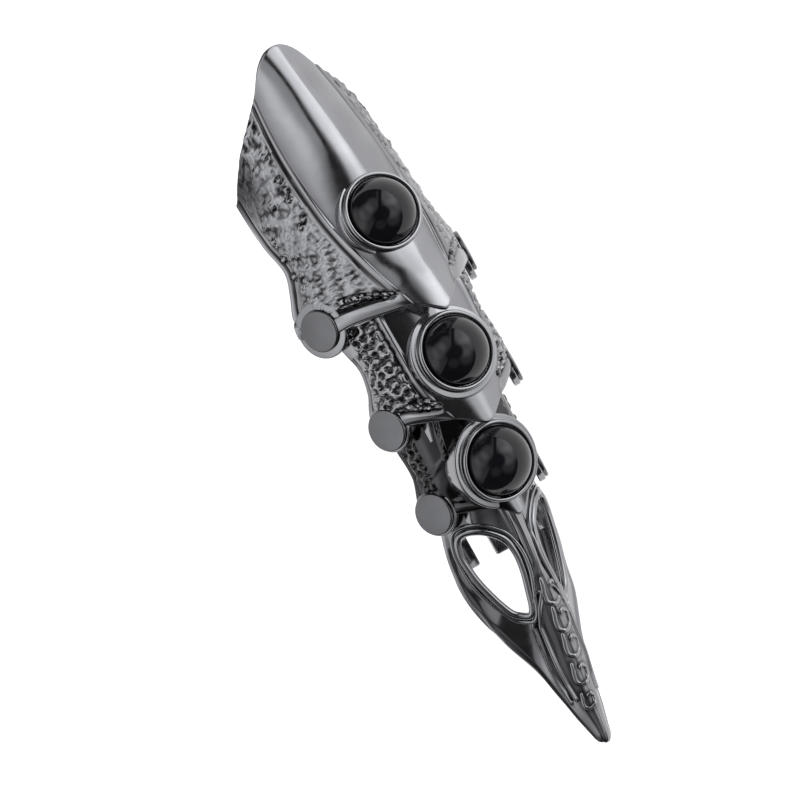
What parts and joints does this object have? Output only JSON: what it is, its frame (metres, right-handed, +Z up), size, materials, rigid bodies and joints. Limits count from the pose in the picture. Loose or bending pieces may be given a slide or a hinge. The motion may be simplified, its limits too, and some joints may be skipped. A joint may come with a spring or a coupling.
{
  "type": "knuckle armor ring",
  "caption": "Articulated finger armor ring of riveted dark metal plates, each with a black domed stone, ending in a pierced claw over the fingertip.",
  "frame": {"origin": "middle of the box of the ring as it lies on its right flank, on the surface under it", "axes": "+X along the finger toward the claw, +Z up from the surface, +Y toward the side on which the right flank rests"},
  "size_m": [0.0972, 0.0226, 0.022],
  "materials": {
    "plate_metal": "polished black nickel plating over cast zinc alloy",
    "rivet_metal": "polished black nickel plating",
    "stone": "glossy black domed stones"
  },
  "bodies": {
    "knuckle": {"knuckle_plate": "plate_metal", "knuckle_stone": "stone", "knuckle_rivet_left": "rivet_metal", "knuckle_rivet_right": "rivet_metal"},
    "second": {"second_plate": "plate_metal", "second_stone": "stone", "second_rivet_left": "rivet_metal", "second_rivet_right": "rivet_metal"},
    "third": {"third_plate": "plate_metal", "third_stone": "stone", "third_rivet_left": "rivet_metal", "third_rivet_right": "rivet_metal"},
    "claw": {"claw": "plate_metal"}
  },
  "joints": [
    {"name": "knuckle_hinge", "type": "hinge", "parent": "knuckle", "child": "second", "pos_m": [-0.01422, 0.00139, 0.01199], "axis": [0.0172, 0.7096, -0.7044], "range_deg": [0, 25]},
    {"name": "second_hinge", "type": "hinge", "parent": "second", "child": "third", "pos_m": [0.00068, 0.00104, 0.012], "axis": [0.0172, 0.7096, -0.7044], "range_deg": [0, 25]},
    {"name": "third_hinge", "type": "hinge", "parent": "third", "child": "claw", "pos_m": [0.01274, -0.00143, 0.00981], "axis": [0.0172, 0.7096, -0.7044], "range_deg": [0, 25]}
  ]
}
